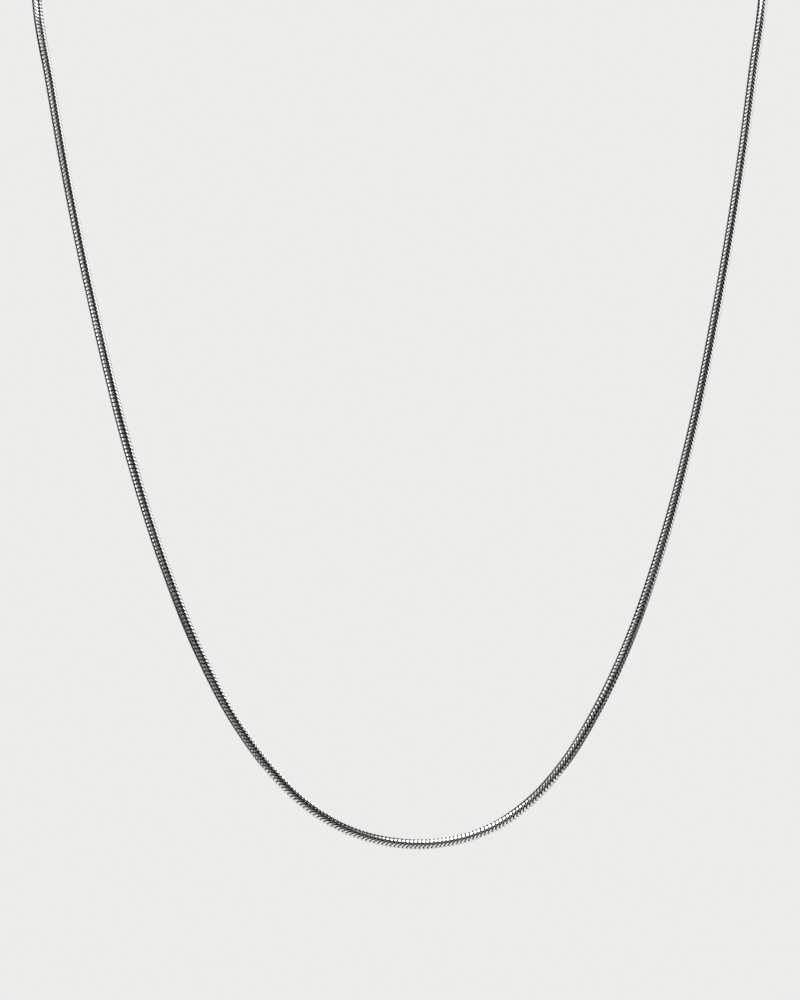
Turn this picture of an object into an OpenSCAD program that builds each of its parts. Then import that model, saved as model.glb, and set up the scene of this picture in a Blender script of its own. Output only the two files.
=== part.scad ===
// Snake chain necklace, as it hangs when worn: a fine round chain that ends in two capped eyes,
// joined at the nape by two jump rings and a lobster clasp.
// All sizes are in millimetres. +Z is up, the front faces -Y, and the wearer's left is at +X.
// Names say left and right as the front is looked at, so left is at -X.
// The origin is the centre of the neck opening, level with the collar.

/* [Necklace] */
// Width of the loop between its two front strands at the collar
collar_w = 113; // [90:1:140]
// Height from the collar down to the lowest point of the front
drop = 130; // [100:1:170]
// Distance that the front leans forward over that height
chest_reach = 20; // [8:1:36]
// Distance from the front strands at the collar back to the nape
neck_depth = 54; // [40:1:70]
// Height of the nape above the collar
nape_rise = 27; // [16:1:40]

/* [Chain] */
// Outer diameter of the round chain
chain_d = 1.5; // [1:0.1:2.4]

/* [End caps] */
// Depth of the socket that holds the chain's end
socket_depth = 3; // [2:0.5:6]
// Thickness of the wall round the socket
cap_wall = 0.35; // [0.25:0.05:0.7]
// Thickness of the closed end that carries the eye
cap_floor = 1; // [0.6:0.1:2]
// Width of the bevel round each edge of the cap
cap_bevel = 0.15; // [0.05:0.05:0.2]

/* [Eyes and jump rings] */
// Wire diameter of the eyes and of the jump rings
wire_d = 0.6; // [0.5:0.05:0.8]
// Hole diameter of each soldered eye
eye_hole = 1.3; // [1.2:0.1:1.8]
// Hole diameter of each jump ring
ring_hole = 2.4; // [2.3:0.1:3.2]

/* [Clasp] */
// Length of the hole in the clasp's hook
hook_hole_l = 5; // [4:0.5:9]
// Width of the hole in the clasp's hook
hook_hole_w = 2.4; // [2:0.1:3.6]
// Wire diameter of the hook
hook_wire_d = 1.1; // [0.9:0.05:1.2]
// Diameter of the ball at the clasp's tail
tail_ball_d = 2.2; // [1.8:0.1:2.8]
// Diameter of the thumb tab
tab_d = 0.9; // [0.6:0.1:1.2]
// Height that the thumb tab stands out from the hook
tab_h = 0.7; // [0.4:0.1:1.2]

/* [Fits] */
// Clearance between the chain and its socket, at the side and at the end
socket_gap = 0.05; // [0.03:0.01:0.1]
// Clearance between two wires that pull on each other
link_gap = 0.1; // [0.05:0.05:0.2]
// Depth that a soldered eye sinks into what carries it
solder_depth = 0.3; // [0.15:0.05:0.4]

/* [Hidden] */
$fn = 48;

// Sides of the chain's plain tube, and its rings from one point of the route to the next
chain_sides = 8;
rings_per_span = 2;

// Closure, worked out from its wires and holes
eye_reach = eye_hole / 2 + wire_d - solder_depth;
eye_to_ring = (eye_hole + ring_hole) / 2 - link_gap;
hook_to_ring = (hook_hole_l + ring_hole) / 2 - link_gap;
hook_to_tail_eye = hook_hole_l / 2 + hook_wire_d + eye_reach;
eye_span = 3 * eye_to_ring + hook_to_tail_eye + hook_to_ring;

// Places along X from the left cap's eye to the right cap's eye
left_eye_x = -eye_span / 2;
left_ring_x = left_eye_x + eye_to_ring;
hook_x = left_ring_x + eye_to_ring + hook_to_tail_eye;
right_ring_x = hook_x + hook_to_ring;
right_eye_x = right_ring_x + eye_to_ring;

// End caps
cap_r = chain_d / 2 + socket_gap + cap_wall;
cap_l = socket_depth + cap_floor;
cap_mouth_x = right_eye_x + eye_reach + cap_l;
chain_end_x = cap_mouth_x - socket_depth + socket_gap;
chain_lead_x = cap_mouth_x + chain_d;
nape_y = neck_depth / 2;

// The chain's route from the straight lead at the nape to the collar, the same on both sides.
// Columns: share of the way out from the lead to the strand, share of the neck's depth, share of the rise
NAPE_ROUTE = [
    [0.217, 0.967, 0.995],
    [0.450, 0.857, 0.970],
    [0.686, 0.655, 0.896],
    [0.875, 0.404, 0.740],
    [0.977, 0.196, 0.515],
    [1.009, 0.067, 0.266]];

// The chain's route from the collar down to the lowest point, where it hangs a little fuller at the right.
// Columns: share of half the collar width at the left, the same at the right, share of the drop
FRONT_ROUTE = [
    [1.000, 1.000, 0.000],
    [0.966, 0.966, 0.090],
    [0.930, 0.930, 0.185],
    [0.851, 0.851, 0.362],
    [0.765, 0.765, 0.525],
    [0.671, 0.671, 0.664],
    [0.578, 0.578, 0.771],
    [0.482, 0.482, 0.854],
    [0.390, 0.396, 0.911],
    [0.297, 0.308, 0.952],
    [0.196, 0.214, 0.980],
    [0.094, 0.119, 0.995],
    [0.000, 0.000, 1.000]];

// The front leans out fastest at the collar and hangs straight down at the lowest point
function lean(down) = chest_reach * (1 - (1 - down) ^ 2);

// Points of each half from the nape to the lowest point, both drawn towards +X: the left half, then the right
routes = [for (column = [0, 1]) concat(
    [[chain_end_x, nape_y, nape_rise], [chain_lead_x, nape_y, nape_rise]],
    [for (row = NAPE_ROUTE) [
        chain_lead_x + row[0] * (collar_w / 2 - chain_lead_x),
        -nape_y + row[1] * neck_depth,
        row[2] * nape_rise]],
    [for (row = FRONT_ROUTE) [row[column] * collar_w / 2, -nape_y - lean(row[2]), -row[2] * drop]])];
last_point = len(routes[0]) - 1;

// Smooth curve through a route's points: each point's direction is the mean of the two spans
// that meet there, weighted towards the shorter one. At the lowest point the chain runs along X.
function heading(route, i) = (route[i + 1] - route[i]) / norm(route[i + 1] - route[i]);
function direction(route, i) =
    i == 0 ? heading(route, 0) :
    i == last_point ? [heading(route, i - 1).x, 0, 0] :
    let (before = norm(route[i] - route[i - 1]), after = norm(route[i + 1] - route[i]))
    (heading(route, i - 1) * after + heading(route, i) * before) / (before + after);
function on_span(route, i, u) =
    let (span = norm(route[i + 1] - route[i]))
    route[i] * (2 * u ^ 3 - 3 * u ^ 2 + 1) + direction(route, i) * span * (u ^ 3 - 2 * u ^ 2 + u)
    + route[i + 1] * (3 * u ^ 2 - 2 * u ^ 3) + direction(route, i + 1) * span * (u ^ 3 - u ^ 2);

centre_lines = [for (route = routes) concat(
    [for (i = [0 : last_point - 1], k = [0 : rings_per_span - 1]) on_span(route, i, k / rings_per_span)],
    [route[last_point]])];
last_ring = len(centre_lines[0]) - 1;

// The tube's rings lie square to the chain, turned so that one corner points away from the hub.
// Side is 1 for the half at +X and -1 for the half at -X.
hub = [0, 0, -drop / 3];
function centre(side, i) =
    let (point = centre_lines[side > 0 ? 1 : 0][i])
    [side * point.x, point.y, point.z];
function ring_heading(side, i) =
    i == 0 ? [side, 0, 0] :
    i == last_ring ? [-side, 0, 0] :
    let (step = centre(side, i + 1) - centre(side, i - 1)) step / norm(step);
function ring_points(side, i) =
    let (along = ring_heading(side, i),
        away = centre(side, i) - hub,
        square = away - along * (away * along),
        out = square / norm(square),
        across = cross(out, along))
    [for (k = [0 : chain_sides - 1])
        let (turn = 360 * k / chain_sides)
        centre(side, i) + chain_d / 2 * (cos(turn) * out + sin(turn) * across)];

function corner(i, k) = i * chain_sides + k % chain_sides;
tube_faces = concat(
    [for (i = [0 : last_ring - 1], k = [0 : chain_sides - 1], half = [0, 1])
        half == 0
            ? [corner(i, k), corner(i + 1, k + 1), corner(i + 1, k)]
            : [corner(i, k), corner(i, k + 1), corner(i + 1, k + 1)]],
    [[for (k = [chain_sides - 1 : -1 : 0]) corner(0, k)]],
    [[for (k = [0 : chain_sides - 1]) corner(last_ring, k)]]);

// Half of the chain, from its cap at the nape down to the lowest point, where the halves meet
module half_chain(side) {
    polyhedron(points = [for (i = [0 : last_ring]) each ring_points(side, i)], faces = tube_faces);
}

// Closed wire ring round Z
module wire_ring(hole) {
    rotate_extrude()
        translate([(hole + wire_d) / 2, 0])
            circle(d = wire_d);
}

// Eye that faces the front, with its centre at the origin
module eye() {
    rotate([90, 0, 0])
        wire_ring(eye_hole);
}

// Cap for the right end: its eye is at the origin and its socket opens towards +X
module end_cap() {
    eye();
    translate([eye_reach, 0, 0])
        rotate([0, 90, 0])
            difference() {
                rotate_extrude()
                    polygon([
                        [0, 0], [cap_r - cap_bevel, 0], [cap_r, cap_bevel],
                        [cap_r, cap_l - cap_bevel], [cap_r - cap_bevel, cap_l], [0, cap_l]]);
                translate([0, 0, cap_floor])
                    cylinder(d = chain_d + 2 * socket_gap, h = cap_l);
            }
}

// Hook of the clasp: an oval hoop round its centre, flat to the nape
module hook() {
    bend_r = (hook_hole_w + hook_wire_d) / 2;
    straight_l = hook_hole_l - hook_hole_w;
    for (side = [0, 1])
        mirror([side, 0, 0])
            translate([straight_l / 2, 0, 0])
                rotate([90, 0, 0])
                    rotate_extrude(angle = 180, start = -90)
                        translate([bend_r, 0])
                            circle(d = hook_wire_d);
    for (side = [-1, 1])
        translate([-straight_l / 2, 0, side * bend_r])
            rotate([0, 90, 0])
                cylinder(d = hook_wire_d, h = straight_l);
}

// Thumb tab on the hook's upper arm, with a round end
module thumb_tab() {
    arm_z = (hook_hole_w + hook_wire_d) / 2;
    tab_l = hook_wire_d / 2 + tab_h - tab_d / 2;
    translate([0, 0, arm_z]) {
        cylinder(d = tab_d, h = tab_l);
        translate([0, 0, tab_l])
            sphere(d = tab_d);
    }
}

module snake_chain_left() {
    color("silver")
        half_chain(-1);
}

module snake_chain_right() {
    color("silver")
        half_chain(1);
}

module end_cap_left() {
    color("silver")
        translate([left_eye_x, nape_y, nape_rise])
            mirror([1, 0, 0])
                end_cap();
}

module end_cap_right() {
    color("silver")
        translate([right_eye_x, nape_y, nape_rise])
            end_cap();
}

module ring_left() {
    color("silver")
        translate([left_ring_x, nape_y, nape_rise])
            wire_ring(ring_hole);
}

module ring_right() {
    color("silver")
        translate([right_ring_x, nape_y, nape_rise])
            wire_ring(ring_hole);
}

module lobster_clasp() {
    color("silver")
        translate([hook_x, nape_y, nape_rise]) {
            hook();
            thumb_tab();
            translate([-(hook_hole_l + hook_wire_d) / 2, 0, 0])
                sphere(d = tail_ball_d);
            translate([-hook_to_tail_eye, 0, 0])
                eye();
        }
}

snake_chain_left();
snake_chain_right();
end_cap_left();
end_cap_right();
ring_left();
ring_right();
lobster_clasp();
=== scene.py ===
import math

import bpy
import numpy as np
from mathutils import Matrix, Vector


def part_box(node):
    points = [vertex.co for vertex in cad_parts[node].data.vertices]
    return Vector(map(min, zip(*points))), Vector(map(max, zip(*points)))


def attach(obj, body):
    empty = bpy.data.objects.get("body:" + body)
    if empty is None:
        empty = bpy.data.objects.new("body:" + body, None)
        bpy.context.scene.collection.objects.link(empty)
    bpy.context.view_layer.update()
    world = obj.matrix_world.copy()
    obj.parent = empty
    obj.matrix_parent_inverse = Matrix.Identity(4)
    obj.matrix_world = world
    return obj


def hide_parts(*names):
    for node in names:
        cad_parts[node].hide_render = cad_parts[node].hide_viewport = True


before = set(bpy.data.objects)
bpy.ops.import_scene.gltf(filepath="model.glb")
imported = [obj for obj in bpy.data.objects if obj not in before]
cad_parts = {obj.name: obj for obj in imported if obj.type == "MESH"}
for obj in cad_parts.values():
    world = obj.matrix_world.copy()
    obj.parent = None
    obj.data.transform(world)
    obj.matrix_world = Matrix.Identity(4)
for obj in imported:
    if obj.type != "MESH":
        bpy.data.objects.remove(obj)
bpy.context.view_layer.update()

MM = 0.001

# Necklace, as in the part's source
COLLAR_W = 113 * MM
DROP = 130 * MM
CHEST_REACH = 20 * MM
NECK_DEPTH = 54 * MM
CHAIN_D = 1.5 * MM
CHAIN_IN_SOCKET = 2.95 * MM

# Route from the nape to the collar, the same on both sides.
# Columns: share of the way out from the lead to the strand, share of the neck's depth, share of the rise
NAPE_ROUTE = [
    [0.217, 0.967, 0.995],
    [0.450, 0.857, 0.970],
    [0.686, 0.655, 0.896],
    [0.875, 0.404, 0.740],
    [0.977, 0.196, 0.515],
    [1.009, 0.067, 0.266]]

# Route from the collar down to the lowest point.
# Columns: share of half the collar width at the left, the same at the right, share of the drop
FRONT_ROUTE = [
    [1.000, 1.000, 0.000],
    [0.966, 0.966, 0.090],
    [0.930, 0.930, 0.185],
    [0.851, 0.851, 0.362],
    [0.765, 0.765, 0.525],
    [0.671, 0.671, 0.664],
    [0.578, 0.578, 0.771],
    [0.482, 0.482, 0.854],
    [0.390, 0.396, 0.911],
    [0.297, 0.308, 0.952],
    [0.196, 0.214, 0.980],
    [0.094, 0.119, 0.995],
    [0.000, 0.000, 1.000]]

# Steps of the smooth curve from one point of the route to the next
CURVE_STEPS = 32

# Links, and the core inside them, painted near black as the shade between the links
LINK_PITCH = 0.623 * MM
LINK_SEGMENTS = 20
LINK_WAVE = 0.55 * MM
CORE_D = 1.1 * MM
CORE_SIDES = 10
CORE_PITCH = 1.5 * MM

# Edges that bend more than this stay sharp
SHARP_ANGLE = math.radians(38)

# Cross-section of a link's band, from its lower edge to its upper edge.
# Columns: share of the pitch along the chain, depth below the chain's surface in mm, share of painted shade
# in the groove
LINK_PROFILE = np.array([
    [-0.465, 0.19, 1.0],
    [-0.285, 0.0, 0.1],
    [0.285, 0.0, 0.1],
    [0.465, 0.19, 1.0]])

# Height of the hub that the chain's outer side faces away from, midway between the strands
HUB_Z = -DROP / 3

# Where the links' forward crest faces, in degrees round the chain from its outer side.
# Columns: share of the chain's length, angle
CREST_ANGLES = np.array([
    [0.000, -60],
    [0.185, -103],
    [0.205, -143],
    [0.250, -143],
    [0.334, -118],
    [0.363, -128],
    [0.460, -103],
    [0.567, -103],
    [0.605, -33],
    [0.638, -46],
    [0.783, -48],
    [1.000, -60]])

# Colours. A pair is the darkest and the palest tone that the noise gives.
SILVER = ((0.88, 0.88, 0.87), (0.95, 0.95, 0.94))
# Near-black painted shade mixed into the links towards the grooves between them
PAINTED_GROOVE_SHADE = (0.03, 0.03, 0.03)
# Near-black painted shade for the chain's inside, seen between the links
CORE_PAINTED_SHADE = ((0.02, 0.02, 0.02), (0.06, 0.06, 0.06))
FLOOR_PAINT = ((0.69, 0.69, 0.68), (0.71, 0.71, 0.70))
BACKGROUND = (0.8388, 0.8388, 0.8228)
LIGHT = (1, 1, 0.99)

# Values of the noise between which a ramp goes from its low colour to its high one
RAMP_FROM = 0.3
RAMP_TO = 0.7

# Roughness, as the lowest and the highest that the noise gives, and the share of satin in the links' polish
FITTING_ROUGH = (0.08, 0.18)
LINK_ROUGH = (0.05, 0.09)
SATIN_ROUGH = (0.28, 0.34)
SATIN_SHARE = 0.26
CORE_ROUGH = (0.4, 0.6)
FLOOR_ROUGH = 0.9

# Noise scales in turns for each metre
CLOUD_SCALE = 900
GRAIN_SCALE = 1500
POLISH_SCALE = 2500
FLOOR_SCALE = 3

# Camera and floor
CAMERA_DISTANCE = 900 * MM
CAMERA_PLANE_Y = -27 * MM
CAMERA_AIM = (-1.6 * MM, -77.55 * MM)
CAMERA_ROLL = math.radians(1.146)
CAMERA_NEAR = 10 * MM
CAMERA_FAR = 10000 * MM
FRAME_HEIGHT = 155.74 * MM
SENSOR_MM = 36
FLOOR_Z = -230 * MM
FLOOR_SIZE = (320 * MM, 600 * MM)

# Soft areas of the studio, seen from the necklace. The photographer stands at azimuth 0.
# Columns: azimuth and elevation of the centre in degrees, half angle, softness, strength
STUDIO_BASE = 0.004
STUDIO_AREAS = [
    [-66, 2, 8, 6, 2.9],
    [-66, 27, 8, 7, 1.9],
    [-30, 67, 23, 6, 5.2],
    [-90, 78, 18, 6, 3.0],
    [-50, 36, 22, 10, 0.5],
    [92, 0, 14, 5, 1.4],
    [116, 3, 14, 5, 1.3],
    [110, 19, 10, 4, 2.2],
    [145, 4, 14, 5, 0.8],
    [84, 28, 9, 6, 1.6],
    [-16, 1, 14, 9, 0.32],
    [14, 10, 7, 8, 0.13],
    [-56, -33, 14, 9, 0.5],
    [60, -33, 16, 9, 0.4],
    [180, 15, 12, 14, 0.3]]


def half_route(column):
    """Half of the source's route from the nape to the lowest point, drawn towards +X.
    The column of the front's table is 0 for the left half and 1 for the right.
    A nape point is its share of the way from the lead to the strand, of the neck's depth and of the rise.
    A front point is its share of half the collar width and of the drop, and leans forward by
    chest reach * (1 - (1 - share of the drop) squared)."""
    cap_low, cap_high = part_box("end_cap_right")
    nape_y = (cap_low.y + cap_high.y) / 2
    nape_z = (cap_low.z + cap_high.z) / 2
    lead_x = cap_high.x + CHAIN_D
    nape = np.array(NAPE_ROUTE)
    front = np.array(FRONT_ROUTE)
    start = [[cap_high.x - CHAIN_IN_SOCKET, nape_y, nape_z], [lead_x, nape_y, nape_z]]
    back = np.column_stack([
        lead_x + nape[:, 0] * (COLLAR_W / 2 - lead_x),
        nape[:, 1] * NECK_DEPTH - NECK_DEPTH / 2,
        nape[:, 2] * nape_z])
    lean = CHEST_REACH * (1 - (1 - front[:, 2]) ** 2)
    chest = np.column_stack([
        front[:, column] * COLLAR_W / 2,
        -NECK_DEPTH / 2 - lean,
        -front[:, 2] * DROP])
    return np.vstack([start, back, chest])


def route_points():
    """The whole route: the left half, turned over to -X, from its cap down to the lowest point,
    then the right half up to its cap."""
    return np.vstack([half_route(0) * [-1, 1, 1], half_route(1)[-2::-1]])


def smooth_line(points):
    """Cubic Hermite curve through the points.
    A point's direction is the mean of its two spans' directions, each weighted by the other's length."""
    spans = np.diff(points, axis=0)
    lengths = np.linalg.norm(spans, axis=1)[:, None]
    ways = spans / lengths
    middle = ways[:-1] * lengths[1:] + ways[1:] * lengths[:-1]
    middle = middle / (lengths[1:] + lengths[:-1])
    direction = np.vstack([ways[:1], middle, ways[-1:]])
    u = (np.arange(CURVE_STEPS) / CURVE_STEPS)[None, :, None]
    start, end = points[:-1, None], points[1:, None]
    leave = direction[:-1, None] * lengths[:, None]
    arrive = direction[1:, None] * lengths[:, None]
    line = start * (2 * u**3 - 3 * u**2 + 1) + leave * (u**3 - 2 * u**2 + u)
    line = line + end * (3 * u**2 - 2 * u**3) + arrive * (u**3 - u**2)
    return np.vstack([line.reshape(-1, 3), points[-1:]])


def stations(line, pitch, centred):
    """Places at equal arc length along the line, about one pitch apart, and their frames.
    Each frame is the unit tangent, the unit vector away from the hub made square to it, and their cross."""
    run = np.concatenate([[0], np.cumsum(np.linalg.norm(np.diff(line, axis=0), axis=1))])
    count = round(run[-1] / pitch)
    share = (np.arange(count) + 0.5) / count if centred else np.arange(count + 1) / count
    at = share * run[-1]
    slope = np.gradient(line, run, axis=0)
    centre = np.column_stack([np.interp(at, run, line[:, k]) for k in range(3)])
    along = np.column_stack([np.interp(at, run, slope[:, k]) for k in range(3)])
    along = along / np.linalg.norm(along, axis=1)[:, None]
    away = centre - [0, 0, HUB_Z]
    away = away - along * np.sum(away * along, axis=1)[:, None]
    out = away / np.linalg.norm(away, axis=1)[:, None]
    return share, centre, along, out, np.cross(along, out)


def rings(out, across, sides):
    """Equal turns round the chain, one for each side, and at every station the unit vectors
    out * cos(turn) + across * sin(turn)."""
    turn = np.arange(sides) * 2 * math.pi / sides
    ring = out[:, None] * np.cos(turn)[None, :, None] + across[:, None] * np.sin(turn)[None, :, None]
    return turn, ring


def mesh_object(name, vertices, quads, groove_shade, material):
    """Mesh object with quads that are smooth except across sharp edges, a groove-shade attribute
    on its vertices that gives the share of painted shade, and one material."""
    mesh = bpy.data.meshes.new(name)
    mesh.from_pydata(vertices.reshape(-1, 3), [], quads.reshape(-1, 4))
    mesh.polygons.foreach_set("use_smooth", np.ones(len(mesh.polygons), bool))
    mesh.set_sharp_from_angle(angle=SHARP_ANGLE)
    layer = mesh.attributes.new("groove_shade", "FLOAT", "POINT")
    layer.data.foreach_set("value", np.ascontiguousarray(groove_shade, np.float32).ravel())
    mesh.materials.append(material)
    mesh.update()
    piece = bpy.data.objects.new(name, mesh)
    bpy.context.scene.collection.objects.link(piece)
    return piece


def chain_links(line, material):
    """All links in one mesh. Each is a closed band round the chain at its station,
    with the profile's rows across it: radius = chain radius - depth, and
    place along the chain = share * pitch + wave * cos(2 * (turn - crest))."""
    share, centre, along, out, across = stations(line, LINK_PITCH, True)
    turn, ring = rings(out, across, LINK_SEGMENTS)
    crest = np.radians(np.interp(share, CREST_ANGLES[:, 0], CREST_ANGLES[:, 1]))
    wave = LINK_WAVE * np.cos(2 * (turn[None, :] - crest[:, None]))
    radius = CHAIN_D / 2 - LINK_PROFILE[:, 1] * MM
    forward = LINK_PROFILE[:, 0] * LINK_PITCH
    lift = wave[:, :, None] + forward[None, None, :]
    vertices = centre[:, None, None] + ring[:, :, None] * radius[None, None, :, None]
    vertices = vertices + along[:, None, None] * lift[:, :, :, None]
    rows = len(LINK_PROFILE)
    index = np.arange(len(centre) * LINK_SEGMENTS * rows).reshape(len(centre), LINK_SEGMENTS, rows)
    beside = np.roll(index, -1, axis=1)
    quads = np.stack([index, beside, np.roll(beside, -1, axis=2), np.roll(index, -1, axis=2)], axis=-1)
    # Share of painted shade at each vertex, from the profile's last column
    groove_shade = np.broadcast_to(LINK_PROFILE[:, 2], index.shape)
    return mesh_object("chain_links", vertices, quads, groove_shade, material)


def chain_core(line, material):
    """Inside of the chain, painted near black as the shade between the links: a plain tube of the
    core's diameter, with a ring at each station and its ends closed by a point at their centres."""
    _, centre, _, out, across = stations(line, CORE_PITCH, False)
    _, ring = rings(out, across, CORE_SIDES)
    vertices = centre[:, None] + ring * CORE_D / 2
    vertices[0], vertices[-1] = centre[0], centre[-1]
    index = np.arange(len(centre) * CORE_SIDES).reshape(len(centre), CORE_SIDES)
    beside = np.roll(index, -1, axis=1)
    quads = np.stack([index[:-1], beside[:-1], beside[1:], index[1:]], axis=-1)
    return mesh_object("chain_core", vertices, quads, np.ones(index.shape), material)


def new_material(name):
    """Material with only a Principled shader, its node tree and that shader."""
    material = bpy.data.materials.new(name)
    material.use_nodes = True
    return material, material.node_tree, material.node_tree.nodes["Principled BSDF"]


def noise(tree, scale, detail):
    """Noise in object coordinates at the scale given in turns for each metre."""
    place = tree.nodes.new("ShaderNodeTexCoord")
    texture = tree.nodes.new("ShaderNodeTexNoise")
    texture.inputs["Scale"].default_value = scale
    texture.inputs["Detail"].default_value = detail
    tree.links.new(place.outputs["Object"], texture.inputs["Vector"])
    return texture.outputs["Fac"]


def ramp(tree, factor, low, high):
    """Colour that goes from low to high as the factor goes from the ramp's first value to its last."""
    node = tree.nodes.new("ShaderNodeValToRGB")
    node.color_ramp.elements[0].position = RAMP_FROM
    node.color_ramp.elements[0].color = (*low, 1)
    node.color_ramp.elements[1].position = RAMP_TO
    node.color_ramp.elements[1].color = (*high, 1)
    tree.links.new(factor, node.inputs["Fac"])
    return node.outputs["Color"]


def span(tree, factor, low, high):
    """Value that goes from low to high as the factor goes from 0 to 1."""
    node = tree.nodes.new("ShaderNodeMapRange")
    node.inputs["To Min"].default_value = low
    node.inputs["To Max"].default_value = high
    tree.links.new(factor, node.inputs["Value"])
    return node.outputs["Result"]


def polish(tree, shader, colour, rough):
    """Gives the shader a metal of the colour, with its roughness changed by a fine noise."""
    shader.inputs["Metallic"].default_value = 1
    tree.links.new(colour, shader.inputs["Base Color"])
    tree.links.new(span(tree, noise(tree, POLISH_SCALE, detail=2), *rough), shader.inputs["Roughness"])


def fitting_silver():
    """Polished silver with a faint cloudy change of tone and polish."""
    material, tree, shader = new_material("fitting_silver")
    polish(tree, shader, ramp(tree, noise(tree, CLOUD_SCALE, detail=3), *SILVER), FITTING_ROUGH)
    return material


def link_silver():
    """Polished silver with a satin share from fine wear, darkened by painted shade that is full
    in the grooves between links at each band's edges and faint on its crown."""
    material, tree, shader = new_material("link_silver")
    groove_shade = tree.nodes.new("ShaderNodeAttribute")
    groove_shade.attribute_name = "groove_shade"
    colour = tree.nodes.new("ShaderNodeMix")
    colour.data_type = "RGBA"
    tree.links.new(groove_shade.outputs["Fac"], colour.inputs["Factor"])
    tree.links.new(ramp(tree, noise(tree, CLOUD_SCALE, detail=3), *SILVER), colour.inputs["A"])
    # Painted shade: the colour that the groove share mixes in
    colour.inputs["B"].default_value = (*PAINTED_GROOVE_SHADE, 1)
    satin = tree.nodes.new("ShaderNodeBsdfPrincipled")
    polish(tree, shader, colour.outputs["Result"], LINK_ROUGH)
    polish(tree, satin, colour.outputs["Result"], SATIN_ROUGH)
    both = tree.nodes.new("ShaderNodeMixShader")
    both.inputs["Fac"].default_value = SATIN_SHARE
    output = tree.nodes["Material Output"]
    tree.links.new(shader.outputs["BSDF"], both.inputs[1])
    tree.links.new(satin.outputs["BSDF"], both.inputs[2])
    tree.links.new(both.outputs["Shader"], output.inputs["Surface"])
    return material


def core_shade_metal():
    """Metal painted near black as the shade inside the chain, seen only between the links."""
    material, tree, shader = new_material("core_shade_metal")
    shader.inputs["Metallic"].default_value = 1
    # Near-black colour painted as the shade inside the chain
    colour = ramp(tree, noise(tree, GRAIN_SCALE, detail=2), *CORE_PAINTED_SHADE)
    tree.links.new(colour, shader.inputs["Base Color"])
    tree.links.new(span(tree, noise(tree, CLOUD_SCALE, detail=2), *CORE_ROUGH), shader.inputs["Roughness"])
    return material


def floor_paint():
    """Pale matt floor with a hardly visible change of tone."""
    material, tree, shader = new_material("floor_paint")
    colour = ramp(tree, noise(tree, FLOOR_SCALE, detail=2), *FLOOR_PAINT)
    tree.links.new(colour, shader.inputs["Base Color"])
    shader.inputs["Roughness"].default_value = FLOOR_ROUGH
    return material


def floor(material):
    """Plain pale floor below the necklace."""
    x, y = FLOOR_SIZE[0] / 2, FLOOR_SIZE[1] / 2
    corners = np.array([[-x, -y, FLOOR_Z], [x, -y, FLOOR_Z], [x, y, FLOOR_Z], [-x, y, FLOOR_Z]])
    piece = mesh_object("floor", corners, np.array([[0, 1, 2, 3]]), np.zeros(4), material)


def facing(azimuth, elevation):
    """Unit vector to a place round the necklace. Azimuth 0 is towards the camera, and 90 towards +X."""
    a, e = math.radians(azimuth), math.radians(elevation)
    return (math.sin(a) * math.cos(e), -math.cos(a) * math.cos(e), math.sin(e))


def round_area(tree, place, azimuth, elevation, half_angle, softness, strength):
    """Strength of one round area: full within the half angle of its centre, and 0 past the softness."""
    towards = tree.nodes.new("ShaderNodeVectorMath")
    towards.operation = "DOT_PRODUCT"
    towards.inputs[1].default_value = facing(azimuth, elevation)
    tree.links.new(place, towards.inputs[0])
    area = tree.nodes.new("ShaderNodeMapRange")
    area.interpolation_type = "SMOOTHSTEP"
    area.inputs["From Min"].default_value = math.cos(math.radians(half_angle + softness))
    area.inputs["From Max"].default_value = math.cos(math.radians(half_angle))
    area.inputs["To Max"].default_value = strength
    tree.links.new(towards.outputs["Value"], area.inputs["Value"])
    return area.outputs["Result"]


def studio_strength(tree):
    """Strength of the light from each direction: the brightest of a dim surround and all round areas."""
    place = tree.nodes.new("ShaderNodeTexCoord")
    total = None
    for row in STUDIO_AREAS:
        area = round_area(tree, place.outputs["Generated"], *row)
        brighter = tree.nodes.new("ShaderNodeMath")
        brighter.operation = "MAXIMUM"
        brighter.inputs[0].default_value = STUDIO_BASE
        if total:
            tree.links.new(total, brighter.inputs[0])
        tree.links.new(area, brighter.inputs[1])
        total = brighter.outputs["Value"]
    return total


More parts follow.
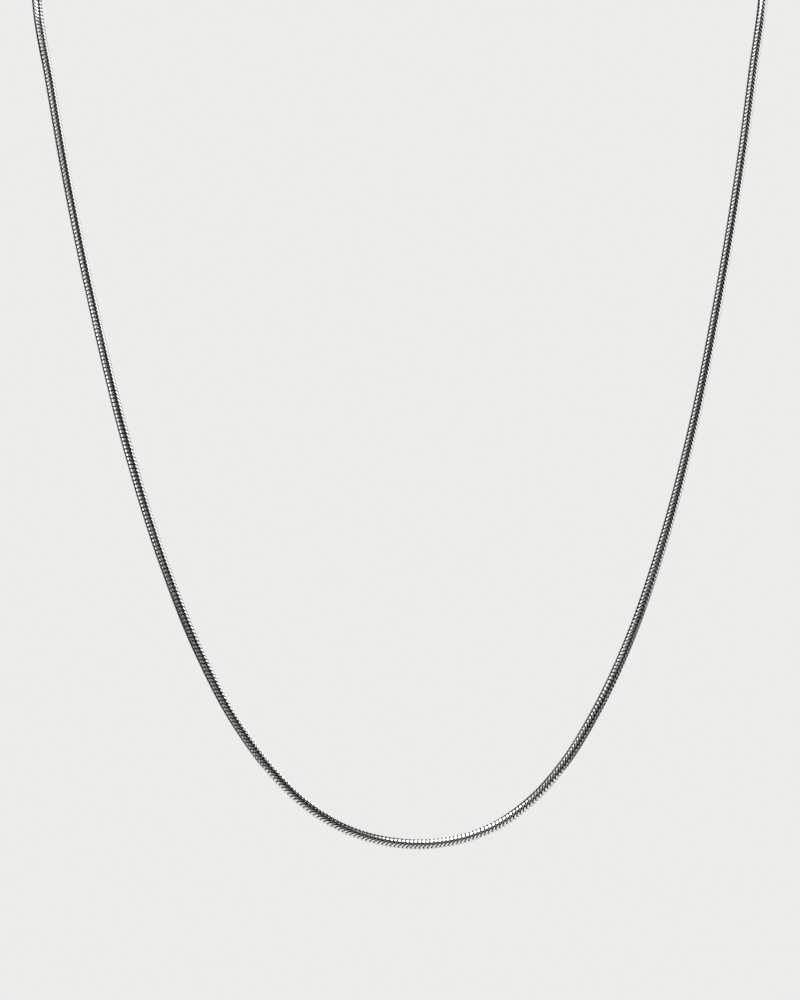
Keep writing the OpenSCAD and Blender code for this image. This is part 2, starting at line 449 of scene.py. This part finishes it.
def studio():
    """Soft studio light all round the necklace. The camera sees a plain pale background instead."""
    world = bpy.data.worlds.new("studio")
    world.use_nodes = True
    bpy.context.scene.world = world
    tree = world.node_tree
    tree.nodes.clear()
    strength = studio_strength(tree)
    light = tree.nodes.new("ShaderNodeBackground")
    light.inputs["Color"].default_value = (*LIGHT, 1)
    tree.links.new(strength, light.inputs["Strength"])
    seen = tree.nodes.new("ShaderNodeBackground")
    seen.inputs["Color"].default_value = (*BACKGROUND, 1)
    path = tree.nodes.new("ShaderNodeLightPath")
    mix = tree.nodes.new("ShaderNodeMixShader")
    output = tree.nodes.new("ShaderNodeOutputWorld")
    tree.links.new(path.outputs["Is Camera Ray"], mix.inputs["Fac"])
    tree.links.new(light.outputs["Background"], mix.inputs[1])
    tree.links.new(seen.outputs["Background"], mix.inputs[2])
    tree.links.new(mix.outputs["Shader"], output.inputs["Surface"])


def camera():
    """Camera in front of the chest, level, rolled a little as in the photo."""
    data = bpy.data.cameras.new("camera")
    data.sensor_width = SENSOR_MM
    data.lens = SENSOR_MM * CAMERA_DISTANCE / FRAME_HEIGHT
    data.clip_start = CAMERA_NEAR
    data.clip_end = CAMERA_FAR
    piece = bpy.data.objects.new("camera", data)
    c, s = math.cos(CAMERA_ROLL), math.sin(CAMERA_ROLL)
    x, z = CAMERA_AIM
    y = CAMERA_PLANE_Y - CAMERA_DISTANCE
    piece.matrix_world = Matrix(((c, s, 0, x), (0, 0, -1, y), (-s, c, 0, z), (0, 0, 0, 1)))
    bpy.context.scene.collection.objects.link(piece)
    bpy.context.scene.camera = piece


def build():
    """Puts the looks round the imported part."""
    line = smooth_line(route_points())
    links = chain_links(line, link_silver())
    core = chain_core(line, core_shade_metal())
    for piece in (links, core):
        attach(piece, "root")
    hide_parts("snake_chain_left", "snake_chain_right")
    fittings = fitting_silver()
    for name in ("end_cap_left", "end_cap_right", "ring_left", "ring_right", "lobster_clasp"):
        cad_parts[name].material_slots[0].material = fittings
    floor(floor_paint())
    studio()
    camera()
    bpy.context.scene.view_settings.view_transform = "Standard"


build()
